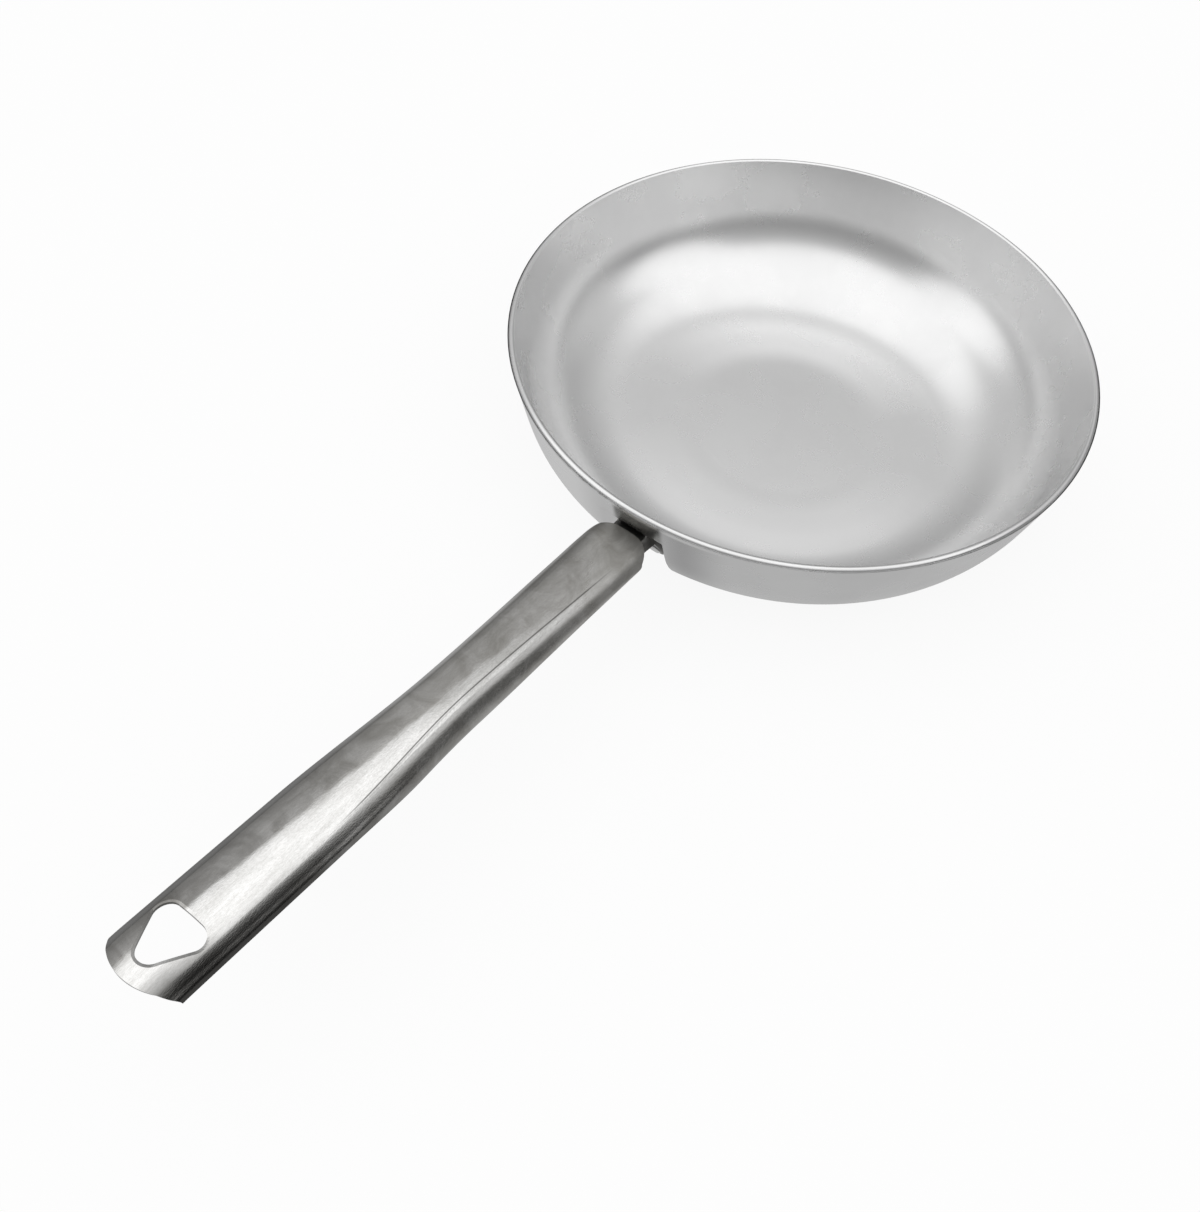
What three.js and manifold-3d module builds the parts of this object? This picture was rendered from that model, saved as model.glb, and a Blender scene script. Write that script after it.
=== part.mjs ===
import * as THREE from "three";
import { mergeVertices } from "three/addons/utils/BufferGeometryUtils.js";
import Module from "manifold-3d";

// A deep frying pan. A bowl is pressed from thick aluminium sheet, and its wall is pressed in
// once more behind the handle to make a sloping seat. A steel bracket is riveted to that seat,
// and a handle formed from one stainless sheet slides over its tang and is held by a screw.
// Millimetres and +Z up. The origin is the centre of the base, and the handle runs along +X.

const { degToRad, lerp, smoothstep } = THREE.MathUtils;
const wasm = await Module();
wasm.setup();

// Bowl
const RIM_RADIUS = 130;
const BOWL_HEIGHT = 59.5;
const BOWL_WALL = 3;
const CORNER_RADIUS = 48; // outside, where the base turns up into the wall
const WALL_SLOPE = degToRad(76); // measured from the ground
const RIM_EASE = 0.5; // small bevel on both edges of the rim
const DISH_DEPTH = 0.6; // how far the floor sinks towards its centre
const DISH_MARGIN = 4; // level ring left between the corner and the dish
const DISH_SLOPE = 34; // width over which the floor sinks

// Seat pressed into the wall behind the handle
const SEAT_SLOPE = degToRad(62); // measured from the ground
const SEAT_SETBACK = 8.2; // from the rim's outer radius in to the top of the seat
const SEAT_DROP = 15.1; // from the rim down to the top of the seat
const SEAT_FOLD = 3; // height of the fold above it, where the press reaches its full depth
const SEAT_MARGIN = 2; // flat left on each side of the bracket
const SEAT_SHOULDER = 6; // width of the rounded step at each side

// Fits
const SEAT_GAP = 0.3; // between pieces that rest on each other
const HOLE_GAP = 0.25; // around a shank in its hole

// Bracket
const FOOT_WIDTH = 21;
const FOOT_THICKNESS = 2.5;
const FOOT_LENGTH = 22; // down the seat from its top
const FOOT_CORNER = 3;
const TANG_LENGTH = 38; // from the root of the handle

// Rivets
const RIVET_DIAMETER = 5;
const RIVET_SPACING = 12;
const RIVET_INSET = 6; // from the lower edge of the foot
const RIVET_HEAD_DIAMETER = 10;
const RIVET_HEAD_HEIGHT = 2;
const RIVET_TAIL_DIAMETER = 8;
const RIVET_TAIL_HEIGHT = 0.6;

// Handle
const ROOT_SETBACK = 5; // from the rim's outer radius in to the root
const ROOT_DROP = 13.7; // from the rim down to the root
const HANDLE_RISE = degToRad(7.35); // upward tilt from the ground
const HANDLE_REACH = 249.6; // from the root to the far end
const MOUTH = 2.5; // from the root to the open end at the bowl
const MOUTH_CORNER = 8; // rounding of that end, seen from above
const SHEET = 1.2;
const WAIST_AT = 108; // from the root
const TAIL_AT = 178; // from the root
const NECK = { width: 29.2, depth: 9.5, ridge: 18, drop: 0.6, widest: 4.5, sole: 19, lift: 0.9 };
const WAIST = { width: 26.6, depth: 14.2, ridge: 11, drop: 0.9, widest: 6.5, sole: 22, lift: 1 };
const TAIL = { width: 32, depth: 15, ridge: 15, drop: 1.46, widest: 7.9, sole: 30, lift: 1 };
const SEAM = 0.8; // where the edges of the sheet meet along the underside
const ARCH_START = 105; // from the root, where the underside begins to open
const ARCH_DEPTH = 7.9; // height of the open channel at the tail
const END_RADIUS = 20; // of the far end, seen from above

// Hanging hole: a rounded triangle pointing to the far end
const HOLE_SETBACK = 16.5; // from the far end to its centre
const HOLE_RADIUS = 9.4;
const HOLE_CORNERS = 3;
const HOLE_POINT = 0.09; // share by which the corners stand out

// Screw under the handle
const SCREW_AT = 24; // from the root
const SCREW_DIAMETER = 4;
const SCREW_HEAD_DIAMETER = 8;
const SCREW_HEAD_HEIGHT = 2.2;
const SCREW_COVER = 1.5; // metal left in the tang above the tip

// Facets
const BOWL_SEGMENTS = 72;
const BOWL_CROWDING = 0.78; // how strongly the segments gather at the seat
const ARC_STEPS = 8;
const WALL_STEPS = 10;
const DISH_STEPS = 6;
const RING_POINTS = 40;
const HANDLE_STEPS = 29;
const TANG_STEPS = 8;
const ROUND_SEGMENTS = 24;
const DOME_STEPS = 5;
const HOLE_STEPS = 36;
const CUT = 60; // size of cutting bodies, larger than any piece that they cut

// Finishes
const satinAluminium = { color: 0xb8babb, metalness: 0.9, roughness: 0.42 };
const satinSteel = { color: 0x9a9894, metalness: 1, roughness: 0.36 };
const brightSteel = { color: 0xb4b4b2, metalness: 1, roughness: 0.28 };

function solidOf(geometry) {
  const bare = geometry.clone();
  bare.deleteAttribute("normal");
  bare.deleteAttribute("uv");
  const merged = mergeVertices(bare);
  return new wasm.Manifold(
    new wasm.Mesh({
      numProp: 3,
      vertProperties: new Float32Array(merged.attributes.position.array),
      triVerts: new Uint32Array(merged.index.array),
    }),
  );
}

function geometryOf(solid) {
  const mesh = solid.getMesh();
  const geometry = new THREE.BufferGeometry();
  geometry.setAttribute("position", new THREE.BufferAttribute(mesh.vertProperties, 3));
  geometry.setIndex(new THREE.BufferAttribute(mesh.triVerts, 1));
  geometry.computeVertexNormals();
  return geometry;
}

function piece(name, geometry, finish) {
  const mesh = new THREE.Mesh(geometry, new THREE.MeshStandardMaterial(finish));
  mesh.name = name;
  return mesh;
}

// The points of an arc, with its first point left out.
function arcPoints(centre, radius, from, to, steps) {
  return Array.from({ length: steps }, (_, i) => {
    const angle = lerp(from, to, (i + 1) / steps);
    const turn = new THREE.Vector2(Math.cos(angle), Math.sin(angle));
    return turn.multiplyScalar(radius).add(centre);
  });
}

// The points of a straight run, with its first point left out.
function linePoints(from, to, steps) {
  return Array.from({ length: steps }, (_, i) => from.clone().lerp(to, (i + 1) / steps));
}

// Bowl: the outer profile is the base, a corner arc and a straight wall up to the rim
const cornerTop = CORNER_RADIUS * (1 - Math.cos(WALL_SLOPE));
const wallRun = (BOWL_HEIGHT - cornerTop) / Math.tan(WALL_SLOPE);
const baseRadius = RIM_RADIUS - wallRun - CORNER_RADIUS * Math.sin(WALL_SLOPE);
const cornerCentre = new THREE.Vector2(baseRadius, CORNER_RADIUS);

// Radius of the wall at a height, on the face that lies inset from the outer one.
function wallRadius(height, inset) {
  const radius = CORNER_RADIUS - inset;
  const arcTop = CORNER_RADIUS - radius * Math.cos(WALL_SLOPE);
  if (height < arcTop) {
    const down = CORNER_RADIUS - height;
    return baseRadius + Math.sqrt(Math.max(radius * radius - down * down, 0));
  }
  return baseRadius + radius * Math.sin(WALL_SLOPE) + (height - arcTop) / Math.tan(WALL_SLOPE);
}

function bowlProfile() {
  const down = -Math.PI / 2;
  const top = down + WALL_SLOPE;
  const inside = CORNER_RADIUS - BOWL_WALL;
  const outerRim = new THREE.Vector2(wallRadius(BOWL_HEIGHT - RIM_EASE, 0), BOWL_HEIGHT - RIM_EASE);
  const innerRim = new THREE.Vector2(
    wallRadius(BOWL_HEIGHT - RIM_EASE, BOWL_WALL),
    BOWL_HEIGHT - RIM_EASE,
  );
  const outerArc = arcPoints(cornerCentre, CORNER_RADIUS, down, top, ARC_STEPS);
  const innerArc = arcPoints(cornerCentre, inside, top, down, ARC_STEPS);
  const innerTop = new THREE.Vector2(
    cornerCentre.x + inside * Math.sin(WALL_SLOPE),
    cornerCentre.y - inside * Math.cos(WALL_SLOPE),
  );
  const dishEdge = baseRadius - DISH_MARGIN;
  const dish = Array.from({ length: DISH_STEPS + 1 }, (_, i) => {
    const inward = (i / DISH_STEPS) * DISH_SLOPE;
    const sunk = DISH_DEPTH * smoothstep(inward, 0, DISH_SLOPE);
    return new THREE.Vector2(dishEdge - inward, BOWL_WALL - sunk);
  });
  return [
    new THREE.Vector2(0, 0),
    new THREE.Vector2(baseRadius, 0),
    ...outerArc,
    ...linePoints(outerArc.at(-1), outerRim, WALL_STEPS),
    new THREE.Vector2(outerRim.x - RIM_EASE, BOWL_HEIGHT),
    new THREE.Vector2(innerRim.x + RIM_EASE, BOWL_HEIGHT),
    innerRim,
    ...linePoints(innerRim, innerTop, WALL_STEPS),
    ...innerArc,
    ...dish,
    new THREE.Vector2(0, BOWL_WALL - DISH_DEPTH),
  ];
}

// Seat: a straight line down the wall, from just above the neck of the handle
const seatTop = new THREE.Vector2(RIM_RADIUS - SEAT_SETBACK, BOWL_HEIGHT - SEAT_DROP);

// The seat's own line at a height, on the face that lies inset from the outer one.
function seatLine(height, inset) {
  return seatTop.x - (seatTop.y - height) / Math.tan(SEAT_SLOPE) - inset / Math.sin(SEAT_SLOPE);
}

// How fully the wall is pressed to that line: all of it in the middle, none above the fold.
function seatShare(side, height) {
  const flat = FOOT_WIDTH / 2 + SEAT_MARGIN;
  const sideways = 1 - smoothstep(Math.abs(side), flat, flat + SEAT_SHOULDER);
  return sideways * smoothstep(seatTop.y + SEAT_FOLD - height, 0, SEAT_FOLD);
}

// The lathe turns about its own Y axis. Its segments are gathered towards the seat, its axis
// is laid upright, and each point of the wall behind the handle is pressed in to the seat.
function bowlGeometry() {
  const geometry = new THREE.LatheGeometry(bowlProfile(), BOWL_SEGMENTS);
  const position = geometry.attributes.position;
  for (let i = 0; i < position.count; i++) {
    const height = position.getY(i);
    const radius = Math.hypot(position.getX(i), position.getZ(i));
    const turn = Math.atan2(position.getX(i), position.getZ(i));
    const around = turn - BOWL_CROWDING * Math.sin(turn);
    const side = radius * Math.sin(around);
    const ahead = radius * Math.cos(around);
    const inset = radius < wallRadius(height, BOWL_WALL / 2) ? BOWL_WALL : 0;
    const pressed = Math.min(ahead, seatLine(height, inset));
    const share = ahead > 0 ? seatShare(side, height) : 0;
    position.setXYZ(i, lerp(ahead, pressed, share), side, height);
  }
  return geometry;
}

// Places: the seat's frame has X down the slope and Z out of the wall, and the handle's frame
// has X along the handle and Z up out of its crown.
const seat = new THREE.Group();
seat.position.set(seatTop.x, 0, seatTop.y);
seat.rotation.y = Math.PI - SEAT_SLOPE;
seat.updateMatrix();
const handle = new THREE.Group();
handle.position.set(RIM_RADIUS - ROOT_SETBACK, 0, BOWL_HEIGHT - ROOT_DROP);
handle.rotation.y = -HANDLE_RISE;
handle.updateMatrix();

function cylinder(diameter, from, to) {
  const height = to - from;
  const geometry = new THREE.CylinderGeometry(diameter / 2, diameter / 2, height, ROUND_SEGMENTS);
  return geometry.rotateX(Math.PI / 2).translate(0, 0, (from + to) / 2);
}

function turned(profile) {
  return new THREE.LatheGeometry(profile, ROUND_SEGMENTS).rotateX(Math.PI / 2);
}

// Rivets: a domed head inside the bowl, and a flat tail on the foot
const rivetAlong = FOOT_LENGTH - RIVET_INSET;
const rivetSides = { left: RIVET_SPACING / 2, right: -RIVET_SPACING / 2 };
const rivetHole = RIVET_DIAMETER + 2 * HOLE_GAP;

function rivetProfile() {
  const headBase = -BOWL_WALL - SEAT_GAP;
  const tailBase = FOOT_THICKNESS + 2 * SEAT_GAP;
  const shank = RIVET_DIAMETER / 2;
  const tail = RIVET_TAIL_DIAMETER / 2;
  const dome = Array.from({ length: DOME_STEPS + 1 }, (_, i) => {
    const angle = (Math.PI / 2) * (i / DOME_STEPS);
    const out = (RIVET_HEAD_DIAMETER / 2) * Math.sin(angle);
    return new THREE.Vector2(out, headBase - RIVET_HEAD_HEIGHT * Math.cos(angle));
  });
  return [
    ...dome,
    new THREE.Vector2(shank, headBase),
    new THREE.Vector2(shank, tailBase),
    new THREE.Vector2(tail, tailBase),
    new THREE.Vector2(tail - RIVET_TAIL_HEIGHT, tailBase + RIVET_TAIL_HEIGHT),
    new THREE.Vector2(0, tailBase + RIVET_TAIL_HEIGHT),
  ];
}

function withRivetHoles(solid) {
  const holes = Object.values(rivetSides).map((side) => {
    const hole = cylinder(rivetHole, -CUT / 2, CUT / 2).translate(rivetAlong, side, 0);
    return solidOf(hole.applyMatrix4(seat.matrix));
  });
  return holes.reduce((body, hole) => body.subtract(hole), solid);
}

// Handle: its section changes from a flat oval at the neck, through a narrow ridged waist,
// to a broad arch at the tail
function sectionAt(along) {
  const toWaist = smoothstep(along, 0, WAIST_AT);
  const toTail = smoothstep(along, WAIST_AT, TAIL_AT);
  const size = (key) => lerp(lerp(NECK[key], WAIST[key], toWaist), TAIL[key], toTail);
  return Object.fromEntries(Object.keys(NECK).map((key) => [key, size(key)]));
}

// One ring of the handle, from the crown round by the left side, inset from the outer face.
function handleRing(along, inset) {
  const size = sectionAt(along);
  const half = [
    [size.ridge / 2, -size.drop],
    [size.width / 2, -size.widest],
    [size.sole / 2, size.lift - size.depth],
  ];
  const leftSide = half.map(([side, up]) => new THREE.Vector3(0, side, up));
  const rightSide = half.map(([side, up]) => new THREE.Vector3(0, -side, up)).reverse();
  const crown = new THREE.Vector3(0, 0, 0);
  const sole = new THREE.Vector3(0, 0, -size.depth);
  const knots = [crown, ...leftSide, sole, ...rightSide];
  const ring = new THREE.CatmullRomCurve3(knots, true).getPoints(RING_POINTS).slice(0, -1);
  return ring.map((point, i) => {
    const before = ring.at(i - 1);
    const after = ring[(i + 1) % ring.length];
    const out = new THREE.Vector3(0, before.z - after.z, after.y - before.y).normalize();
    return point.clone().addScaledVector(out, -inset).setX(along);
  });
}

function loft(rings) {
  const count = rings[0].length;
  const last = (rings.length - 1) * count;
  const index = [];
  for (let start = 0; start < last; start += count) {
    for (let i = 0; i < count; i++) {
      const next = (i + 1) % count;
      index.push(start + i, start + count + i, start + count + next);
      index.push(start + i, start + count + next, start + next);
    }
  }
  for (let i = 1; i < count - 1; i++) {
    index.push(0, i, i + 1);
    index.push(last, last + i + 1, last + i);
  }
  const geometry = new THREE.BufferGeometry();
  const points = rings.flat().flatMap((point) => point.toArray());
  geometry.setAttribute("position", new THREE.Float32BufferAttribute(points, 3));
  return geometry.setIndex(index);
}

function handleBody(from, to, inset, steps) {
  const rings = Array.from({ length: steps + 1 }, (_, i) => {
    return handleRing(lerp(from, to, i / steps), inset);
  });
  return loft(rings);
}

// A side view drawn along and up, given its width across the handle.
function across(shape, width) {
  const geometry = new THREE.ExtrudeGeometry(shape, { depth: width, bevelEnabled: false });
  return geometry.rotateX(Math.PI / 2).translate(0, width / 2, 0);
}

// A plan drawn along and across, given its height through the handle.
function through(shape, height) {
  const settings = { depth: height, bevelEnabled: false, curveSegments: ROUND_SEGMENTS };
  return new THREE.ExtrudeGeometry(shape, settings).translate(0, 0, -height / 2);
}

// The underside opens from the waist, and the edges of the sheet rise to the tail.
function archShape() {
  const end = HANDLE_REACH + CUT;
  const rise = (share) => lerp(ARCH_START, TAIL_AT, share);
  const shape = new THREE.Shape();
  shape.moveTo(ARCH_START, -CUT);
  shape.lineTo(end, -CUT);
  shape.lineTo(end, -ARCH_DEPTH);
  shape.lineTo(TAIL_AT, -ARCH_DEPTH);
  shape.bezierCurveTo(rise(2 / 3), -ARCH_DEPTH, rise(1 / 3), -WAIST.depth, ARCH_START, -WAIST.depth);
  return shape;
}

// Both ends of the sheet are rounded: the far end all over, and the mouth at its corners.
function endShape() {
  const quarter = Math.PI / 2;
  const centre = HANDLE_REACH - END_RADIUS;
  const corner = MOUTH + MOUTH_CORNER;
  const side = NECK.width / 2 - MOUTH_CORNER;
  const shape = new THREE.Shape();
  shape.absarc(corner, -side, MOUTH_CORNER, 2 * quarter, 3 * quarter);
  shape.lineTo(corner, -END_RADIUS);
  shape.lineTo(centre, -END_RADIUS);
  shape.absarc(centre, 0, END_RADIUS, -quarter, quarter);
  shape.lineTo(corner, END_RADIUS);
  shape.absarc(corner, side, MOUTH_CORNER, quarter, 2 * quarter);
  return shape;
}

function holeShape() {
  const centre = HANDLE_REACH - HOLE_SETBACK;
  const points = Array.from({ length: HOLE_STEPS }, (_, i) => {
    const angle = (2 * Math.PI * i) / HOLE_STEPS;
    const radius = HOLE_RADIUS * (1 + HOLE_POINT * Math.cos(HOLE_CORNERS * angle));
    return new THREE.Vector2(centre + radius * Math.cos(angle), radius * Math.sin(angle));
  });
  return new THREE.Shape(points);
}

// Screw: its head bears on the underside of the handle, and its shank goes up into the tang
const tangTop = -SHEET - SEAT_GAP;
const screwSeat = -sectionAt(SCREW_AT).depth - SEAT_GAP;
const screwHoleTop = tangTop - SCREW_COVER;

function screwProfile() {
  const head = SCREW_HEAD_DIAMETER / 2;
  const shank = SCREW_DIAMETER / 2;
  const headBottom = screwSeat - SCREW_HEAD_HEIGHT;
  const round = SCREW_HEAD_HEIGHT / 2;
  return [
    new THREE.Vector2(0, headBottom),
    new THREE.Vector2(head - round, headBottom),
    new THREE.Vector2(head, headBottom + round),
    new THREE.Vector2(head, screwSeat),
    new THREE.Vector2(shank, screwSeat),
    new THREE.Vector2(shank, screwHoleTop - SEAT_GAP),
    new THREE.Vector2(0, screwHoleTop - SEAT_GAP),
  ];
}

function screwHole() {
  const hole = cylinder(SCREW_DIAMETER + 2 * HOLE_GAP, -CUT, screwHoleTop);
  return solidOf(hole.translate(SCREW_AT, 0, 0));
}

function shellSolid() {
  const outer = handleBody(MOUTH, HANDLE_REACH, 0, HANDLE_STEPS);
  const inner = handleBody(MOUTH - SHEET, HANDLE_REACH + SHEET, SHEET, HANDLE_STEPS);
  const seam = new THREE.BoxGeometry(HANDLE_REACH, SEAM, CUT);
  seam.translate(HANDLE_REACH / 2, 0, -WAIST.widest - CUT / 2);
  return solidOf(outer)
    .subtract(solidOf(inner))
    .subtract(solidOf(seam))
    .subtract(solidOf(across(archShape(), CUT)))
    .subtract(solidOf(through(holeShape(), CUT)))
    .intersect(solidOf(through(endShape(), CUT)))
    .subtract(screwHole());
}

// Its lower corners are rounded, and its upper edge runs on until the tang cuts it off.
function footShape() {
  const bottom = FOOT_LENGTH - FOOT_CORNER;
  const side = FOOT_WIDTH / 2 - FOOT_CORNER;
  const quarter = Math.PI / 2;
  const shape = new THREE.Shape();
  shape.absarc(bottom, side, FOOT_CORNER, 0, quarter);
  shape.lineTo(-CUT / 2, FOOT_WIDTH / 2);
  shape.lineTo(-CUT / 2, -FOOT_WIDTH / 2);
  shape.absarc(bottom, -side, FOOT_CORNER, -quarter, 0);
  return shape;
}

// The foot lies on the seat and ends flush with the tang, which fills the mouth of the handle.
function bracketSolid() {
  const foot = through(footShape(), FOOT_THICKNESS).translate(0, 0, SEAT_GAP + FOOT_THICKNESS / 2);
  const behind = new THREE.BoxGeometry(2 * CUT, CUT, CUT).translate(0, 0, SEAT_GAP - CUT / 2);
  const above = new THREE.BoxGeometry(2 * CUT, CUT, CUT).translate(0, 0, tangTop + CUT / 2);
  const strap = new THREE.BoxGeometry(2 * CUT, FOOT_WIDTH, CUT);
  const tang = solidOf(handleBody(-CUT / 2, TANG_LENGTH, SHEET + SEAT_GAP, TANG_STEPS))
    .intersect(solidOf(strap))
    .subtract(screwHole());
  const placedTang = solidOf(geometryOf(tang).applyMatrix4(handle.matrix));
  const placedFoot = solidOf(foot.applyMatrix4(seat.matrix));
  const wallSide = solidOf(behind.applyMatrix4(seat.matrix));
  const topSide = solidOf(above.applyMatrix4(handle.matrix));
  return withRivetHoles(placedTang.subtract(wallSide).add(placedFoot.subtract(topSide)));
}

const pan = new THREE.Group();
pan.name = "deep_frying_pan";
pan.add(piece("pan_body", geometryOf(withRivetHoles(solidOf(bowlGeometry()))), satinAluminium));
pan.add(piece("handle_bracket", geometryOf(bracketSolid()), satinSteel));
for (const [name, side] of Object.entries(rivetSides)) {
  const rivet = piece(`bracket_rivet_${name}`, turned(rivetProfile()), brightSteel);
  rivet.position.set(rivetAlong, side, 0);
  seat.add(rivet);
}
handle.add(piece("handle_shell", geometryOf(shellSolid()), satinSteel));
const screw = piece("handle_screw", turned(screwProfile()), brightSteel);
screw.position.x = SCREW_AT;
handle.add(screw);
pan.add(seat, handle);

export default pan;
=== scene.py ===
import math

import bmesh
import bpy
import numpy as np
from mathutils import Matrix, Vector, geometry


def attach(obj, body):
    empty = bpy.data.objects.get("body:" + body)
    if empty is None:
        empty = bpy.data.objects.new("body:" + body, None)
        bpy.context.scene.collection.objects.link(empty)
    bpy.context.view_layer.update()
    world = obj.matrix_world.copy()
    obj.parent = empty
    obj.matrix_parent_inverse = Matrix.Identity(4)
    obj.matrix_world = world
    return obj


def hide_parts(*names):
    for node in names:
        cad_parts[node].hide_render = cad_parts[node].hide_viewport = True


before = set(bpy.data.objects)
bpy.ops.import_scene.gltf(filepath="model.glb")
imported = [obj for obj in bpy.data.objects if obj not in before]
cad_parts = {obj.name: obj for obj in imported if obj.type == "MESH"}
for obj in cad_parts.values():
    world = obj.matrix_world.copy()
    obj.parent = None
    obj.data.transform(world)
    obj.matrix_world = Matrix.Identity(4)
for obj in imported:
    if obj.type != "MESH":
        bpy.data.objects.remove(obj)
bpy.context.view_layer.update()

# Bowl: a disc of thick aluminium sheet, pressed deep and polished to a satin face.
# Behind the handle its wall is pressed in once more, to a flat sloping seat for the bracket.
RIM_RADIUS = 0.130
BOWL_HEIGHT = 0.0595
BOWL_WALL = 0.003
CORNER_RADIUS = 0.048
WALL_SLOPE = math.radians(76)
RIM_OUTSIDE = 0.0022
RIM_INSIDE = 0.0006
RIM_BAND = 0.001
RIM_FOLD = 0.5
RIM_STEPS = 6
DISH_DEPTH = 0.0006
DISH_MARGIN = 0.004
DISH_SLOPE = 0.034
SEAT_SLOPE = math.radians(62)
SEAT_TOP = Vector((0.1218, 0, 0.0444))
SEAT_FOLD = 0.003
SEAT_HALF = 0.0105
SEAT_FLARE = 0.0040
SEAT_SHOULDER = 0.006
SEAT_SECTOR = math.radians(24)
SEAT_STEPS = 72
ROUND_STEPS = 168
CORNER_STEPS = 40
BASE_CUTS = 40
WALL_CUTS = 30
WELD = 0.000005
LEVEL = 0.00001
SHARP_EDGE = math.radians(35)
CLOUD_COLOUR = (0.35, 0.6)
CLOUD_ROUGH = (0.3, 0.7)
GRAIN_DETAIL = 2.0
CLOUD_DETAIL = 5.0
GRAIN_ROUGH = 0.6
GRIT_DEPTH = 0.0001


def smoothstep(value, low, high):
    share = min(max((value - low) / (high - low), 0), 1)
    return share * share * (3 - 2 * share)


def smooth_faces(mesh):
    mesh.shade_smooth()
    mesh.set_sharp_from_angle(angle=SHARP_EDGE)


def new_object(name, shape):
    mesh = bpy.data.meshes.new(name)
    shape.to_mesh(mesh)
    shape.free()
    item = bpy.data.objects.new(name, mesh)
    bpy.context.scene.collection.objects.link(item)
    return item


def make_piece(name, shape, material, node):
    piece = new_object(name, shape)
    smooth_faces(piece.data)
    piece.data.materials.append(material)
    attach(piece, "root")
    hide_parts(node)
    return piece


def vertices(geom):
    return [part for part in geom if isinstance(part, bmesh.types.BMVert)]


def feed(tree, value, socket):
    """Links what varies over the surface to a socket, or sets a plain value on it."""
    if isinstance(value, bpy.types.NodeSocket):
        tree.links.new(value, socket)
    else:
        socket.default_value = value


def ramp(tree, source, span, values=(0, 1), smooth=False):
    node = tree.nodes.new("ShaderNodeMapRange")
    if smooth:
        node.interpolation_type = "SMOOTHSTEP"
    node.inputs["From Min"].default_value = span[0]
    node.inputs["From Max"].default_value = span[1]
    node.inputs["To Min"].default_value = values[0]
    node.inputs["To Max"].default_value = values[1]
    tree.links.new(source, node.inputs["Value"])
    return node.outputs["Result"]


def arithmetic(tree, operation, *values):
    node = tree.nodes.new("ShaderNodeMath")
    node.operation = operation
    for socket, value in zip(node.inputs, values):
        feed(tree, value, socket)
    return node.outputs["Value"]


def vector_arithmetic(tree, operation, *vectors):
    node = tree.nodes.new("ShaderNodeVectorMath")
    node.operation = operation
    for socket, vector in zip(node.inputs, vectors):
        feed(tree, vector, socket)
    return node.outputs["Vector" if operation == "NORMALIZE" else "Value"]


def between(tree, source, span, edge):
    rise = ramp(tree, source, (span[0] - edge, span[0] + edge), (0, 1), smooth=True)
    fall = ramp(tree, source, (span[1] - edge, span[1] + edge), (1, 0), smooth=True)
    return arithmetic(tree, "MULTIPLY", rise, fall)


def mix_colours(tree, share, first, second):
    node = tree.nodes.new("ShaderNodeMix")
    node.data_type = "RGBA"
    tree.links.new(share, node.inputs["Factor"])
    for name, colour in (("A", first), ("B", second)):
        feed(tree, (*colour, 1) if isinstance(colour, tuple) else colour, node.inputs[name])
    return node.outputs["Result"]


def noise(tree, place, scale, detail, roughness=0.5, distortion=0.0):
    node = tree.nodes.new("ShaderNodeTexNoise")
    tree.links.new(place, node.inputs["Vector"])
    settings = {"Scale": scale, "Detail": detail, "Roughness": roughness, "Distortion": distortion}
    for name, value in settings.items():
        feed(tree, value, node.inputs[name])
    return node.outputs["Fac"]


def relief(tree, height, strength, distance):
    node = tree.nodes.new("ShaderNodeBump")
    node.inputs["Strength"].default_value = strength
    node.inputs["Distance"].default_value = distance
    tree.links.new(height, node.inputs["Height"])
    return node


def surface_value(tree, name):
    node = tree.nodes.new("ShaderNodeAttribute")
    node.attribute_name = name
    return node.outputs["Fac"]


def own_place(tree):
    place = tree.nodes.new("ShaderNodeTexCoord").outputs["Object"]
    parts = tree.nodes.new("ShaderNodeSeparateXYZ")
    tree.links.new(place, parts.inputs["Vector"])
    return place, parts.outputs


# Fine grain of a metal face: a small relief and a slow mottle, both on the piece's own place.
def grain_group():
    group = bpy.data.node_groups.new("satin_grain", "ShaderNodeTree")
    group.interface.new_socket("Place", in_out="INPUT", socket_type="NodeSocketVector")
    for name in ("Grain scale", "Cloud scale"):
        group.interface.new_socket(name, in_out="INPUT", socket_type="NodeSocketFloat")
    for name in ("Grain", "Cloud"):
        group.interface.new_socket(name, in_out="OUTPUT", socket_type="NodeSocketFloat")
    entry = group.nodes.new("NodeGroupInput").outputs
    leave = group.nodes.new("NodeGroupOutput").inputs
    for name, detail in (("Grain", GRAIN_DETAIL), ("Cloud", CLOUD_DETAIL)):
        scale = entry[name + " scale"]
        pattern = noise(group, entry["Place"], scale, detail, roughness=GRAIN_ROUGH)
        group.links.new(pattern, leave[name])
    return group


satin_grain = grain_group()


def placed_grain(tree, place, grain_scale, cloud_scale):
    node = tree.nodes.new("ShaderNodeGroup")
    node.node_tree = satin_grain
    node.inputs["Grain scale"].default_value = grain_scale
    node.inputs["Cloud scale"].default_value = cloud_scale
    tree.links.new(place, node.inputs["Place"])
    return node.outputs


def bare_metal(name):
    material = bpy.data.materials.new(name)
    material.use_nodes = True
    shader = material.node_tree.nodes["Principled BSDF"]
    shader.inputs["Metallic"].default_value = 1.0
    return material, material.node_tree, shader.inputs


def metal(name, light, dark, smooth, rough, grain_scale, cloud_scale, bump):
    material, tree, shader = bare_metal(name)
    grain = placed_grain(tree, own_place(tree)[0], grain_scale, cloud_scale)
    cloud = ramp(tree, grain["Cloud"], CLOUD_COLOUR)
    tree.links.new(mix_colours(tree, cloud, dark, light), shader["Base Color"])
    roughness = ramp(tree, grain["Cloud"], CLOUD_ROUGH, (rough, smooth))
    tree.links.new(roughness, shader["Roughness"])
    grit = relief(tree, grain["Grain"], bump, GRIT_DEPTH)
    tree.links.new(grit.outputs["Normal"], shader["Normal"])
    return material


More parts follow.
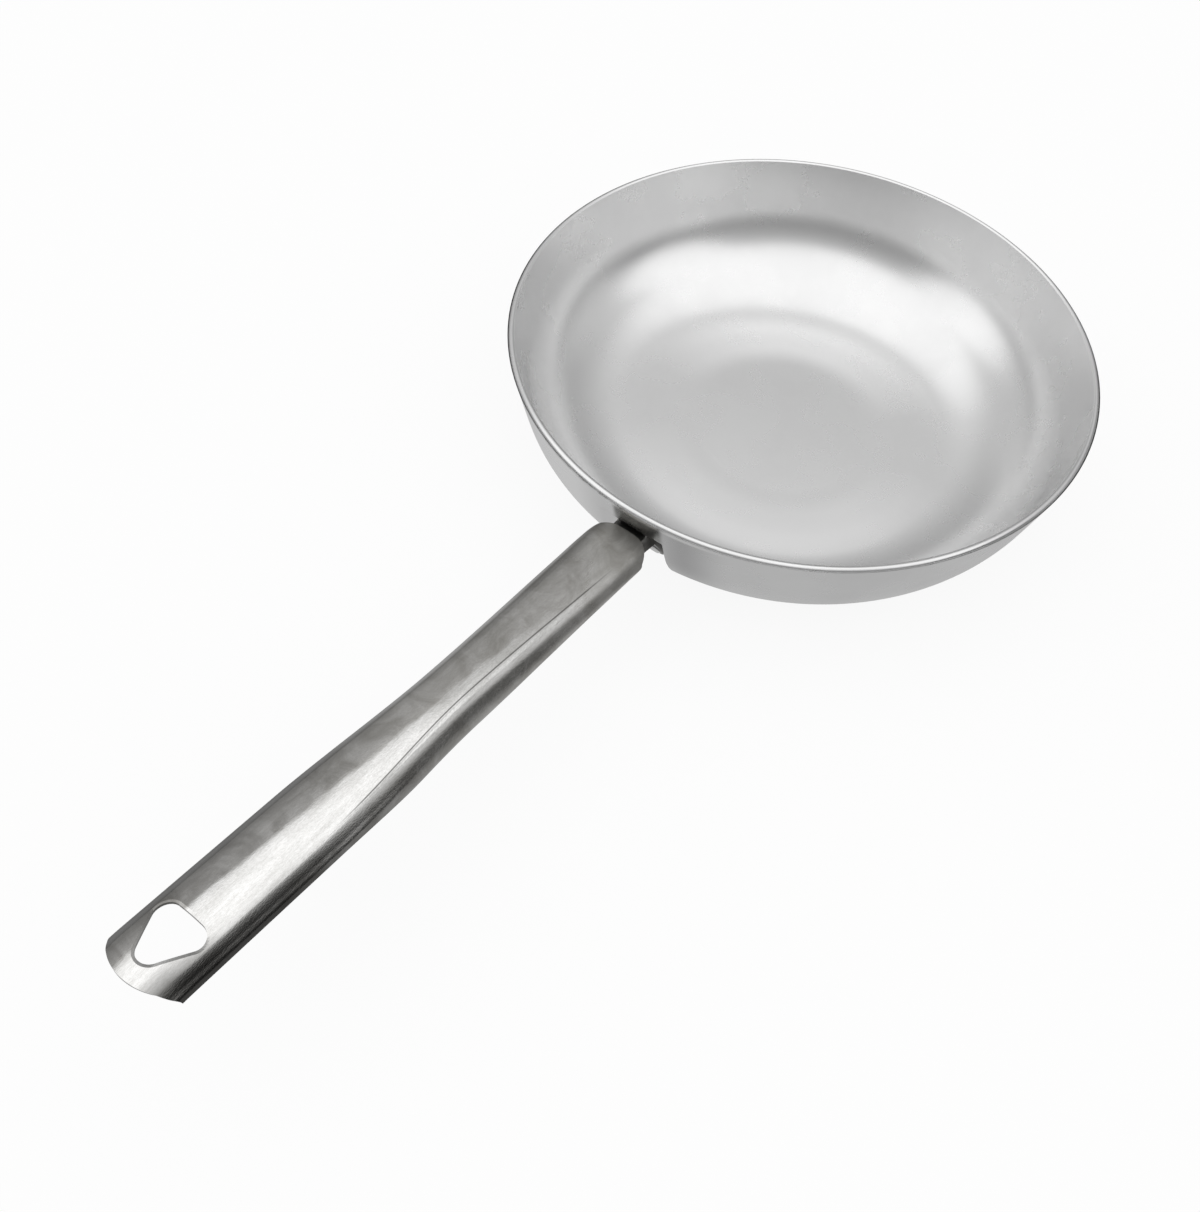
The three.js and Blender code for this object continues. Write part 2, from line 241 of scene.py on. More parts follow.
satin_aluminium = metal(
    "satin_aluminium",
    light=(0.75, 0.75, 0.75),
    dark=(0.72, 0.72, 0.72),
    smooth=0.26,
    rough=0.29,
    grain_scale=1400,
    cloud_scale=30,
    bump=0.05,
)

# A ring of the floor is made paler at the far and near sides, as painted highlights. Outside, below
# the rim beside the handle, the wall has a band of painted shade on one side and a band of painted
# sheen on the other, and the recess behind the handle is darkened with mottled painted shade.
HIGHLIGHT_RING = (0.049, 0.073)
HIGHLIGHT_EDGE = 0.007
HIGHLIGHT_GREY = 0.93
FAR_SIDE = (-0.906, -0.423, 0)
FAR_HIGHLIGHT = (0.35, 0.95)
NEAR_HIGHLIGHT = (-0.2, -0.8)
NEAR_HIGHLIGHT_SHARE = 0.5
HANDLE_SIDE = (0.06, 0.09)
BELOW_RIM = (0.0572, 0.0560)
SHADED_BAND = (0.014, 0.034)
SHADED_GREY = 0.48
SHEEN_BAND = (-0.075, -0.022)
SHEEN_GREY = 0.92
BAND_EDGE = 0.011
RECESS = {"X": (0.115, 0.2), "Y": (-0.0072, 0.0150), "Z": (0.036, 0.0568)}
RECESS_EDGE = 0.0015
MOTTLE_SCALE = 130
MOTTLE_DETAIL = 4
MOTTLE_SPAN = (0.35, 0.65)
RECESS_SHADE_DARK = (0.13, 0.13, 0.125)
RECESS_SHADE_LIGHT = (0.30, 0.30, 0.29)

bowl_tree = satin_aluminium.node_tree
bowl_shader = bowl_tree.nodes["Principled BSDF"].inputs
bowl_colour = bowl_shader["Base Color"].links[0].from_socket
bowl_place, bowl_parts = own_place(bowl_tree)
level_place = bowl_tree.nodes.new("ShaderNodeCombineXYZ")
for name in ("X", "Y"):
    bowl_tree.links.new(bowl_parts[name], level_place.inputs[name])
from_centre = vector_arithmetic(bowl_tree, "LENGTH", level_place.outputs["Vector"])
outwards = vector_arithmetic(bowl_tree, "NORMALIZE", level_place.outputs["Vector"])
# Painted highlight: two crescents of the floor ring, at the far and near sides, are made paler.
towards_far = vector_arithmetic(bowl_tree, "DOT_PRODUCT", outwards, FAR_SIDE)
far_highlight = ramp(bowl_tree, towards_far, FAR_HIGHLIGHT)
near_highlight = ramp(bowl_tree, towards_far, NEAR_HIGHLIGHT, (0, NEAR_HIGHLIGHT_SHARE))
both_sides = arithmetic(bowl_tree, "ADD", far_highlight, near_highlight)
highlight_ring = between(bowl_tree, from_centre, HIGHLIGHT_RING, HIGHLIGHT_EDGE)
highlight_crescents = arithmetic(bowl_tree, "MULTIPLY", highlight_ring, both_sides)
bowl_colour = mix_colours(bowl_tree, highlight_crescents, bowl_colour, (HIGHLIGHT_GREY, HIGHLIGHT_GREY, HIGHLIGHT_GREY))

outside = surface_value(bowl_tree, "outside")
# Painted shade and painted sheen: two bands outside, below the rim beside the handle, one darker
# and one paler.
handle_side = ramp(bowl_tree, bowl_parts["X"], HANDLE_SIDE)
below_rim = ramp(bowl_tree, bowl_parts["Z"], BELOW_RIM)
for span, grey in ((SHADED_BAND, SHADED_GREY), (SHEEN_BAND, SHEEN_GREY)):
    band = between(bowl_tree, bowl_parts["Y"], span, BAND_EDGE)
    for mask in (handle_side, below_rim, outside):
        band = arithmetic(bowl_tree, "MULTIPLY", band, mask)
    bowl_colour = mix_colours(bowl_tree, band, bowl_colour, (grey, grey, grey))

# Painted shade: the recess behind the handle is darkened, with a mottle.
recess_shade = outside
for name, span in RECESS.items():
    inside = between(bowl_tree, bowl_parts[name], span, RECESS_EDGE)
    recess_shade = arithmetic(bowl_tree, "MULTIPLY", recess_shade, inside)
mottle = ramp(bowl_tree, noise(bowl_tree, bowl_place, MOTTLE_SCALE, MOTTLE_DETAIL), MOTTLE_SPAN)
recess_shade_colour = mix_colours(bowl_tree, mottle, RECESS_SHADE_DARK, RECESS_SHADE_LIGHT)
bowl_colour = mix_colours(bowl_tree, recess_shade, bowl_colour, recess_shade_colour)
bowl_tree.links.new(bowl_colour, bowl_shader["Base Color"])

wall_rise = BOWL_HEIGHT - CORNER_RADIUS * (1 - math.cos(WALL_SLOPE))
wall_run = wall_rise / math.tan(WALL_SLOPE)
base_radius = RIM_RADIUS - wall_run - CORNER_RADIUS * math.sin(WALL_SLOPE)

bowl = bmesh.new()
outside_layer = bowl.verts.layers.float.new("outside")
base_line = bowl.edges.new([bowl.verts.new((0, 0, 0)), bowl.verts.new((base_radius, 0, 0))])
corner = bmesh.ops.spin(
    bowl,
    geom=[base_line.verts[1]],
    cent=(base_radius, 0, CORNER_RADIUS),
    axis=(0, -1, 0),
    angle=WALL_SLOPE,
    steps=CORNER_STEPS,
)
wall = bmesh.ops.extrude_vert_indiv(bowl, verts=vertices(corner["geom_last"]))
bmesh.ops.translate(bowl, verts=wall["verts"], vec=(wall_run, 0, wall_rise))
bmesh.ops.subdivide_edges(bowl, edges=[base_line], cuts=BASE_CUTS)
bmesh.ops.subdivide_edges(bowl, edges=wall["edges"], cuts=WALL_CUTS)
to_seat_side = Matrix.Rotation(-SEAT_SECTOR / 2, 3, "Z")
bmesh.ops.rotate(bowl, verts=bowl.verts[:], cent=(0, 0, 0), matrix=to_seat_side)
outline = bowl.verts[:] + bowl.edges[:]
for angle, steps in ((SEAT_SECTOR, SEAT_STEPS), (2 * math.pi - SEAT_SECTOR, ROUND_STEPS)):
    turned = bmesh.ops.spin(
        bowl, geom=outline, cent=(0, 0, 0), axis=(0, 0, 1), angle=angle, steps=steps
    )
    outline = turned["geom_last"]
bmesh.ops.remove_doubles(bowl, verts=bowl.verts[:], dist=WELD)
bmesh.ops.recalc_face_normals(bowl, faces=bowl.faces[:])
outer_face = set(bowl.verts)
bmesh.ops.solidify(bowl, geom=bowl.faces[:], thickness=BOWL_WALL)
for vert in bowl.verts:
    vert.co.z = min(vert.co.z, BOWL_HEIGHT)
    vert[outside_layer] = 1.0 if vert in outer_face else 0.0
    inset = 0 if vert in outer_face else BOWL_WALL / math.sin(SEAT_SLOPE)
    seat_line = SEAT_TOP.x - (SEAT_TOP.z - vert.co.z) / math.tan(SEAT_SLOPE) - inset
    half = SEAT_HALF + SEAT_FLARE * smoothstep(vert.co.z, SEAT_TOP.z, BOWL_HEIGHT)
    sideways = 1 - smoothstep(abs(vert.co.y), half, half + SEAT_SHOULDER)
    fold = smoothstep(SEAT_TOP.z + SEAT_FOLD - vert.co.z, 0, SEAT_FOLD)
    if vert.co.x > seat_line:
        vert.co.x += (seat_line - vert.co.x) * sideways * fold
    inward = base_radius - DISH_MARGIN - vert.co.xy.length
    if vert not in outer_face:
        vert.co.z -= DISH_DEPTH * smoothstep(inward, 0, DISH_SLOPE)
inner_edge = RIM_RADIUS - RIM_BAND
for low, high, rounding in (
    (inner_edge, RIM_RADIUS + RIM_BAND, RIM_OUTSIDE),
    (0, inner_edge, RIM_INSIDE),
):
    rim_edges = [
        edge
        for edge in bowl.edges
        if min(vert.co.z for vert in edge.verts) > BOWL_HEIGHT - LEVEL
        and edge.calc_face_angle(0) > RIM_FOLD
        and low < max(vert.co.xy.length for vert in edge.verts) < high
    ]
    bmesh.ops.bevel(
        bowl,
        geom=rim_edges,
        offset=rounding,
        segments=RIM_STEPS,
        profile=0.5,
        affect="EDGES",
        material=-1,
    )
make_piece("bowl", bowl, satin_aluminium, "pan_body")

# Bracket: a bent piece of steel, coloured very dark as painted shade. Its foot lies on the seat,
# held by two rivets, and its tang goes into the handle. Its upper corners are cut off at a slant on
# both sides.
TRIM_SIDE = 0.0066
TRIM_HEIGHT = 0.0455
TRIM_OUT = 0.920
TRIM_UP = 0.393

# The bracket's very dark base colour is painted shade.
shade_dark_steel = metal(
    "shade_dark_steel",
    light=(0.26, 0.255, 0.245),
    dark=(0.18, 0.176, 0.17),
    smooth=0.34,
    rough=0.44,
    grain_scale=1600,
    cloud_scale=120,
    bump=0.3,
)
bracket = bmesh.new()
bracket.from_mesh(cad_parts["handle_bracket"].data)
bracket.transform(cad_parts["handle_bracket"].matrix_world)
bmesh.ops.remove_doubles(bracket, verts=bracket.verts[:], dist=WELD)
for side in (1, -1):
    trimmed = bmesh.ops.bisect_plane(
        bracket,
        geom=bracket.verts[:] + bracket.edges[:] + bracket.faces[:],
        plane_co=(0, side * TRIM_SIDE, TRIM_HEIGHT),
        plane_no=(0, side * TRIM_OUT, TRIM_UP),
        clear_outer=True,
    )
    open_edges = [part for part in trimmed["geom_cut"] if isinstance(part, bmesh.types.BMEdge)]
    bmesh.ops.triangle_fill(bracket, use_beauty=True, use_dissolve=True, edges=open_edges)
bmesh.ops.recalc_face_normals(bracket, faces=bracket.faces[:])
make_piece("bracket", bracket, shade_dark_steel, "handle_bracket")

# Rivets: two soft metal rivets, pressed through the wall of the bowl and the foot of the bracket.
# Each has a domed head inside the bowl.
rivet_metal = metal(
    "rivet_metal",
    light=(0.80, 0.80, 0.79),
    dark=(0.70, 0.70, 0.69),
    smooth=0.30,
    rough=0.38,
    grain_scale=1400,
    cloud_scale=60,
    bump=0.3,
)


def dress(node, material):
    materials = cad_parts[node].data.materials
    materials.clear()
    materials.append(material)


for node in ("bracket_rivet_left", "bracket_rivet_right"):
    dress(node, rivet_metal)

# Handle: one stainless sheet, folded to a flat tube with a seam below, pinched to a waist,
# and opened to an arch at its far end, where a rounded triangle is punched to hang it by.
HANDLE_ROOT = Vector((0.125, 0, 0.0458))
HANDLE_RISE = math.radians(7.35)
HANDLE_REACH = 0.2496
HANDLE_MOUTH = 0.0036
MOUTH_CORNER = 0.0105
MOUTH_FADE = 0.03
HANDLE_SHEET = 0.0012
WAIST_AT = 0.108
TAIL_AT = 0.178

# A section is given by half of its outline, out from the middle and down from the crown: the
# line lies at sink, the crease at brow, the shoulder at slump and the full width at widest.
NECK = {
    "line": 0.0085, "sink": 0.0006, "crease": 0.0118, "brow": 0.0016,
    "shoulder": 0.0129, "slump": 0.0033, "width": 0.0282, "widest": 0.0060,
    "sole": 0.019, "lift": 0.0009, "depth": 0.0095,
}
WAIST = {
    "line": 0.0061, "sink": 0.0005, "crease": 0.0092, "brow": 0.0015,
    "shoulder": 0.0107, "slump": 0.0037, "width": 0.0272, "widest": 0.0090,
    "sole": 0.023, "lift": 0.001, "depth": 0.0142,
}
TAIL = {
    "line": 0.0100, "sink": 0.0018, "crease": 0.0112, "brow": 0.0023,
    "shoulder": 0.0134, "slump": 0.0050, "width": 0.0310, "widest": 0.0079,
    "sole": 0.0302, "lift": 0.001, "depth": 0.015,
}
BEND = 0.0008
BEND_SHARE = 0.4
LINE_HEIGHT = 0.00010
LINE_WIDTH = 0.0005
LINE_RISES = (0.02, 0.05)
LINE_FADES = (TAIL_AT - 0.015, TAIL_AT + 0.01)
END_CURL = 0.0011
END_CURL_LENGTH = 0.013
SEAM = 0.0008
ARCH_START = 0.105
ARCH_DEPTH = 0.0086
ARCH_SLACK = 1e-7
END_RADIUS = 0.020
CROWN_BAND = -0.002
HOLE_SETBACK = 0.0165
HOLE_CORNER = 0.0047
HOLE_CENTRES = (Vector((0.0056, 0)), Vector((-0.0042, 0.0050)), Vector((-0.0042, -0.0050)))
HOLE_SEGMENTS = 96
PUNCH_HALF = 0.03
SPAN_POINTS = 40
SPANS = 8
SPANS_TO_SIDE = 6
ALONG_STEPS = 240
AROUND_STEPS = 160
UPPER_SHARE = 0.75

handle_place = Matrix.Translation(HANDLE_ROOT) @ Matrix.Rotation(-HANDLE_RISE, 4, "Y")


def section_size(along):
    to_waist = smoothstep(along, 0, WAIST_AT)
    to_tail = smoothstep(along, WAIST_AT, TAIL_AT)
    size = {}
    for key, neck in NECK.items():
        near = neck + (WAIST[key] - neck) * to_waist
        size[key] = near + (TAIL[key] - near) * to_tail
    return size


def curve_span(before, start, end, after):
    """Points of a smooth curve from start to end, led by the knots on both sides of them."""
    gap_before = math.sqrt((start - before).length)
    gap = math.sqrt((end - start).length)
    gap_after = math.sqrt((after - end).length)
    middle = (end - start) / gap
    leave = (start - before) / gap_before - (end - before) / (gap_before + gap) + middle
    arrive = middle - (after - start) / (gap + gap_after) + (after - end) / gap_after
    controls = (start, start + leave * gap / 3, end - arrive * gap / 3, end)
    return geometry.interpolate_bezier(*(knot.to_3d() for knot in controls), SPAN_POINTS)


def section_half(along):
    """The outer face at one place along the handle, from its crown round to the seam below."""
    size = section_size(along)
    line = Vector((size["line"], -size["sink"]))
    crease = Vector((size["crease"], -size["brow"]))
    widest = Vector((size["width"] / 2, -size["widest"]))
    crown_lean = Vector((line.x, 2 * line.y)).normalized()
    facet = (crease - line).normalized()
    bend = min(BEND, BEND_SHARE * (crease - line).length)
    half = [
        Vector((line.x / 2, line.y / 4)),
        line - crown_lean * bend,
        line + facet * bend,
        crease - facet * bend,
        Vector((size["shoulder"], -size["slump"])),
        widest,
        Vector((size["sole"] / 2, size["lift"] - size["depth"])),
    ]
    mirrored = [Vector((-knot.x, knot.y)) for knot in half]
    knots = [mirrored[0], Vector((0, 0)), *half, Vector((0, -size["depth"])), mirrored[-1]]
    points = []
    for around in zip(knots, knots[1:], knots[2:], knots[3:]):
        points += curve_span(*around)[:-1]
    points = np.array(points)[:, :2]
    offset = (points[:, 0] - line.x - LINE_WIDTH / 2) / LINE_WIDTH
    fade = smoothstep(along, *LINE_RISES) * (1 - smoothstep(along, *LINE_FADES))
    crown = points[:, 1] > widest.y
    points[:, 1] += LINE_HEIGHT * fade * crown * np.exp(-offset * offset)
    return points


def sheet_half(along, count):
    """The same face, cut off at the seam or at the open arch, in even steps from the crown."""
    points = section_half(along)
    depth = -points[:, 1]
    reach = smoothstep(along, ARCH_START, TAIL_AT)
    arch = WAIST["depth"] + (ARCH_DEPTH - WAIST["depth"]) * reach
    side_index = len(points) * SPANS_TO_SIDE // SPANS
    past_side = np.arange(len(points)) >= side_index
    gone = past_side & ((points[:, 0] < SEAM / 2) | (depth > arch + ARCH_SLACK))
    last = gone.argmax() if gone.any() else len(points) - 1
    steps = np.hypot(*np.diff(points, axis=0).T)
    length = np.concatenate([[0], np.cumsum(steps)])
    if reach > 0 and depth[last] > arch:
        share = (arch - depth[last - 1]) / (depth[last] - depth[last - 1])
    else:
        share = (points[last - 1, 0] - SEAM / 2) / (points[last - 1, 0] - points[last, 0])
    end = length[last - 1] + share * (length[last] - length[last - 1])
    upper = int(count * UPPER_SHARE)
    above = np.linspace(0, length[side_index], upper, endpoint=False)
    below = np.linspace(length[side_index], end, count - upper)
    at = np.concatenate([above, below])
    return np.stack([np.interp(at, length, points[:, axis]) for axis in (0, 1)], axis=1)


handle = bmesh.new()
sheet = bmesh.ops.create_grid(handle, x_segments=ALONG_STEPS, y_segments=AROUND_STEPS, size=0.5)
halves = {}
for vert in sheet["verts"]:
    row = round((vert.co.x + 0.5) * ALONG_STEPS)
    column = round(vert.co.y * AROUND_STEPS)
    along = HANDLE_MOUTH + (HANDLE_REACH - HANDLE_MOUTH) * row / ALONG_STEPS
    if row not in halves:
        halves[row] = sheet_half(along, AROUND_STEPS // 2 + 1)
    out, up = halves[row][abs(column)]
    side = math.copysign(out, column)
    far_rounding = END_RADIUS - math.sqrt(END_RADIUS**2 - side**2)
    over = min(max(abs(side) - NECK["width"] / 2 + MOUTH_CORNER, 0), MOUTH_CORNER)
    near_rounding = MOUTH_CORNER - math.sqrt(MOUTH_CORNER**2 - over**2)
    along += near_rounding * (1 - smoothstep(along, HANDLE_MOUTH, HANDLE_MOUTH + MOUTH_FADE))
    along -= far_rounding * smoothstep(along, TAIL_AT, HANDLE_REACH)
    up -= END_CURL * smoothstep(along, HANDLE_REACH - END_CURL_LENGTH, HANDLE_REACH) ** 2
    vert.co = (along, side, up)
bmesh.ops.recalc_face_normals(handle, faces=handle.faces[:])
crown_faces = [face for face in handle.faces if face.calc_center_median().z > CROWN_BAND]
if sum(face.normal.z for face in crown_faces) < 0:
    bmesh.ops.reverse_faces(handle, faces=handle.faces[:])
bmesh.ops.solidify(handle, geom=handle.faces[:], thickness=HANDLE_SHEET)
handle.transform(handle_place)

# The steel is clean along the ridge. Its left half and its flank carry painted shade, mottled by a
# stain pattern, and it is darker near the bowl. A thin line of painted shade follows the ridge, and
# the narrow facet beside it is spared from the painted shade, as a painted highlight.
GRAIN_STRETCH = 0.35
GRAIN_SCALE = 2400
CLOUD_SCALE = 90
STREAK_STRETCH = 0.05
STREAK_SCALE = 420
STREAK_DETAIL = 4
STREAK_ROUGH = 0.65
STREAK_SPAN = (0.3, 0.7)
STAIN_SCALE = 75
STAIN_DETAIL = 6
STAIN_ROUGH = 0.62
STAIN_TWIST = 0.8
STAIN_SPAN = (0.3, 0.6)
SANDY_SHARE = 0.7
STREAKED = (0.62, 1.08)
CLEAN_DARK = (0.60, 0.595, 0.58)
CLEAN_LIGHT = (0.82, 0.815, 0.805)
SIDE_SHADE_SLANT = 0.0423
SIDE_SHADE_EDGE = (0.0130, 0.0112)
SIDE_SHADE_RAGGED = (-0.0007, 0.0007)
FLANK_EDGE = (-0.0006, 0.0014)
NEAR_BOWL = (0.25, 0.17)
STAIN_SHARE = (1.0, 0.55)
FACET_START = (0.0003, 0.0007)
FACET_END = (0.0004, -0.0006)
FACET_ALONG = (0.150, 0.185)
FACET_SHARE = 0.85
SHADE_ALONG = (0.25, 0.32)
SHADE_NEAR = (0.33, 0.321, 0.30)
SHADE_FAR = (0.25, 0.243, 0.23)
LEFT_EDGE = (-0.0055, -0.0105)
LEFT_EDGE_SHARE = 0.55
FAR_FLANK = (-0.0024, 0.0040)
FAR_FLANK_SHARE = 0.9
FAR_FLANK_ALONG = (0.295, 0.325)
END_ALONG = (0.345, 0.365)
END_SHIFT = 0.0040
DEEP_SHADE = (0.10, 0.098, 0.094)
LINE_SPREAD = (0.00010, 0.00034)
LINE_SHARE = 0.85
LINE_NEAR = (0.148, 0.166)
LINE_FAR = (0.300, 0.285)
LINE_SHADE = (0.09, 0.088, 0.085)
POLISH = (0.18, 0.13)
WORN_ALONG = (0.21, 0.15)
WORN_ROUGH = 0.14
MOUTH_ALONG = (0.152, 0.138)
MOUTH_ROUGH = 0.25
SCRATCH_STRENGTH = 0.25
SCRATCH_DEPTH = 0.00012
HOLE_LIP = (0, 0.0009)
LIP_STRENGTH = 1.0
LIP_DEPTH = 0.0006

polished_steel, steel_tree, steel = bare_metal("polished_steel")
steel_place, steel_parts = own_place(steel_tree)


def steel_sum(operation, *values):
    return arithmetic(steel_tree, operation, *values)


def steel_ramp(source, span, values=(0, 1)):
    return ramp(steel_tree, source, span, values)


def drawn_place(stretch):
    """The place on the handle, drawn out along it."""
    node = steel_tree.nodes.new("ShaderNodeMapping")
    node.inputs["Rotation"].default_value = (0, HANDLE_RISE, 0)
    node.inputs["Scale"].default_value = (stretch, 1, 1)
    steel_tree.links.new(steel_place, node.inputs["Vector"])
    return node.outputs["Vector"]


drawn_grain = placed_grain(steel_tree, drawn_place(GRAIN_STRETCH), GRAIN_SCALE, CLOUD_SCALE)
streak_place = drawn_place(STREAK_STRETCH)
streaks = noise(steel_tree, streak_place, STREAK_SCALE, STREAK_DETAIL, STREAK_ROUGH)
stain = noise(steel_tree, steel_place, STAIN_SCALE, STAIN_DETAIL, STAIN_ROUGH, STAIN_TWIST)
past_line = surface_value(steel_tree, "past_line")
past_crease = surface_value(steel_tree, "past_crease")

# Painted shade on the left half and on the flank, and darker near the bowl, mottled by the stain
# pattern.
slanting = steel_sum("ADD", steel_parts["Y"], steel_sum("MULTIPLY", steel_parts["X"], SIDE_SHADE_SLANT))
ragged = steel_sum("ADD", slanting, steel_ramp(streaks, STREAK_SPAN, SIDE_SHADE_RAGGED))
shaded_side = steel_ramp(ragged, SIDE_SHADE_EDGE)
shaded_flank = steel_ramp(past_crease, FLANK_EDGE)
near_bowl = steel_ramp(steel_parts["X"], NEAR_BOWL)
uneven = steel_sum("MAXIMUM", steel_sum("MAXIMUM", shaded_side, shaded_flank), near_bowl)
stained_shade = steel_sum("MULTIPLY", uneven, steel_ramp(stain, STAIN_SPAN, STAIN_SHARE))
# Painted highlight: the facet between the line and the crease is spared from the painted shade.
facet = steel_sum(
    "MULTIPLY", steel_ramp(past_line, FACET_START), steel_ramp(past_crease, FACET_END)
)
facet_along = steel_ramp(steel_parts["X"], FACET_ALONG, (0, FACET_SHARE))
highlit_facet = steel_sum("MULTIPLY", facet, facet_along)
shade_share = steel_sum("MULTIPLY", stained_shade, steel_sum("SUBTRACT", 1.0, highlit_facet))

sandy = steel_sum("MULTIPLY", drawn_grain["Grain"], SANDY_SHARE)
streaked = steel_ramp(steel_sum("ADD", streaks, sandy), STREAKED)
clean = mix_colours(steel_tree, streaked, CLEAN_DARK, CLEAN_LIGHT)
# The colour of that painted shade, darker towards the far end.
shade_along = steel_ramp(steel_parts["X"], SHADE_ALONG)
shade_colour = mix_colours(steel_tree, shade_along, SHADE_NEAR, SHADE_FAR)
steel_colour = mix_colours(steel_tree, shade_share, clean, shade_colour)

# Deeper painted shade along the left edge and on the far flank of the tail.
left_edge = steel_ramp(steel_parts["Y"], LEFT_EDGE, (0, LEFT_EDGE_SHARE))
end_shift = steel_ramp(steel_parts["X"], END_ALONG, (0, END_SHIFT))
past_shift = steel_sum("ADD", past_crease, end_shift)
far_flank = steel_sum(
    "MULTIPLY",
    steel_ramp(past_shift, FAR_FLANK, (0, FAR_FLANK_SHARE)),
    steel_ramp(steel_parts["X"], FAR_FLANK_ALONG),
)
deep_shade = steel_sum("MAXIMUM", left_edge, far_flank)
steel_colour = mix_colours(steel_tree, deep_shade, steel_colour, DEEP_SHADE)

# Painted shade in a thin line along the ridge.
line_shade = steel_ramp(steel_sum("ABSOLUTE", past_line), LINE_SPREAD, (LINE_SHARE, 0))
for span in (LINE_FAR, LINE_NEAR):
    line_shade = steel_sum("MULTIPLY", line_shade, steel_ramp(steel_parts["X"], span))
steel_colour = mix_colours(steel_tree, line_shade, steel_colour, LINE_SHADE)
steel_tree.links.new(steel_colour, steel["Base Color"])

roughness = steel_ramp(drawn_grain["Cloud"], CLOUD_ROUGH, POLISH)
for span, rough in ((WORN_ALONG, WORN_ROUGH), (MOUTH_ALONG, MOUTH_ROUGH)):
    roughness = steel_sum("ADD", roughness, steel_ramp(steel_parts["X"], span, (0, rough)))
steel_tree.links.new(roughness, steel["Roughness"])

scratches = relief(steel_tree, drawn_grain["Grain"], SCRATCH_STRENGTH, SCRATCH_DEPTH)
hole_edge = steel_ramp(surface_value(steel_tree, "hole_edge"), HOLE_LIP)
turned_in = relief(steel_tree, hole_edge, LIP_STRENGTH, LIP_DEPTH)
steel_tree.links.new(scratches.outputs["Normal"], turned_in.inputs["Normal"])
steel_tree.links.new(turned_in.outputs["Normal"], steel["Normal"])
handle_piece = make_piece("handle", handle, polished_steel, "handle_shell")

hole_at = Vector((HANDLE_REACH - HOLE_SETBACK, 0))
punch = bmesh.new()
bmesh.ops.create_circle(punch, cap_ends=True, radius=HOLE_CORNER, segments=HOLE_SEGMENTS)
for vert in punch.verts:
    vert.co.xy += max(HOLE_CENTRES, key=vert.co.xy.dot)
bmesh.ops.translate(punch, verts=punch.verts[:], vec=(*hole_at, -PUNCH_HALF))
block = bmesh.ops.extrude_face_region(punch, geom=punch.faces[:])
bmesh.ops.translate(punch, verts=vertices(block["geom"]), vec=(0, 0, 2 * PUNCH_HALF))
bmesh.ops.recalc_face_normals(punch, faces=punch.faces[:])
punch.transform(handle_place)
punch_piece = new_object("punch", punch)
cut = handle_piece.modifiers.new("hanging_hole", "BOOLEAN")
cut.operation = "DIFFERENCE"
cut.solver = "EXACT"
cut.object = punch_piece
bpy.context.view_layer.objects.active = handle_piece
bpy.ops.object.modifier_apply(modifier=cut.name)
bpy.data.objects.remove(punch_piece)
smooth_faces(handle_piece.data)

REACHES = ("past_line", "past_crease", "hole_edge")
for name in REACHES:
    handle_piece.data.attributes.new(name, "FLOAT", "POINT")
line_reach, crease_reach, edge_reach = [handle_piece.data.attributes[name].data for name in REACHES]
to_handle = handle_place.inverted()
for vert in handle_piece.data.vertices:
    here = to_handle @ vert.co
    size = section_size(here.x)
    line_reach[vert.index].value = here.y - size["line"]
    crease_reach[vert.index].value = here.y - size["crease"]
    from_hole = here.xy - hole_at
    gaps = []
    for first, second in zip(HOLE_CENTRES, HOLE_CENTRES[1:] + HOLE_CENTRES[:1]):
        share = geometry.intersect_point_line(from_hole, first, second)[1]
        gaps.append((from_hole - first.lerp(second, min(max(share, 0), 1))).length)
    edge_reach[vert.index].value = max(min(gaps) - HOLE_CORNER, 0)

# Screw: a small screw of bright steel. It goes up through the underside of the handle into the
# tang, and keeps the handle on the bracket.
bright_steel = metal(
    "bright_steel",
    light=(0.66, 0.66, 0.65),
    dark=(0.58, 0.58, 0.57),
    smooth=0.22,
    rough=0.30,
    grain_scale=1400,
    cloud_scale=60,
    bump=0.2,
)
dress("handle_screw", bright_steel)

# Floor: a wide pale sheet that the pan stands on and throws a soft shadow on. The camera sees it
# as white, and the metal sees it glow as a painted pool of light, brighter near the pan than
# further out.
FLOOR_HALF = 4
FLOOR_DROP = 0.0005
FLOOR_GREY = 0.85
FLOOR_ROUGH = 0.9
AROUND_PAN = (0.16, 0.30)
GLOW_IN_METAL = (0.58, 0.36)
WHITE = 1.0
WHITE_SHARE = 0.9

floor_shape = bmesh.new()
bmesh.ops.create_grid(floor_shape, x_segments=1, y_segments=1, size=FLOOR_HALF)
bmesh.ops.translate(floor_shape, verts=floor_shape.verts[:], vec=(0, 0, -FLOOR_DROP))
floor = new_object("floor", floor_shape)
pale_floor = bpy.data.materials.new("pale_floor")
pale_floor.use_nodes = True
floor_tree = pale_floor.node_tree
floor_shader = floor_tree.nodes["Principled BSDF"]
floor_shader.inputs["Base Color"].default_value = (FLOOR_GREY, FLOOR_GREY, FLOOR_GREY, 1)
floor_shader.inputs["Roughness"].default_value = FLOOR_ROUGH


def mix_levels(tree, share, first, second):
    node = tree.nodes.new("ShaderNodeMix")
    for name, value in (("Factor", share), ("A", first), ("B", second)):
        feed(tree, value, node.inputs[name])
    return node.outputs["Result"]


seen_by = floor_tree.nodes.new("ShaderNodeLightPath").outputs
distance = vector_arithmetic(floor_tree, "LENGTH", own_place(floor_tree)[0])
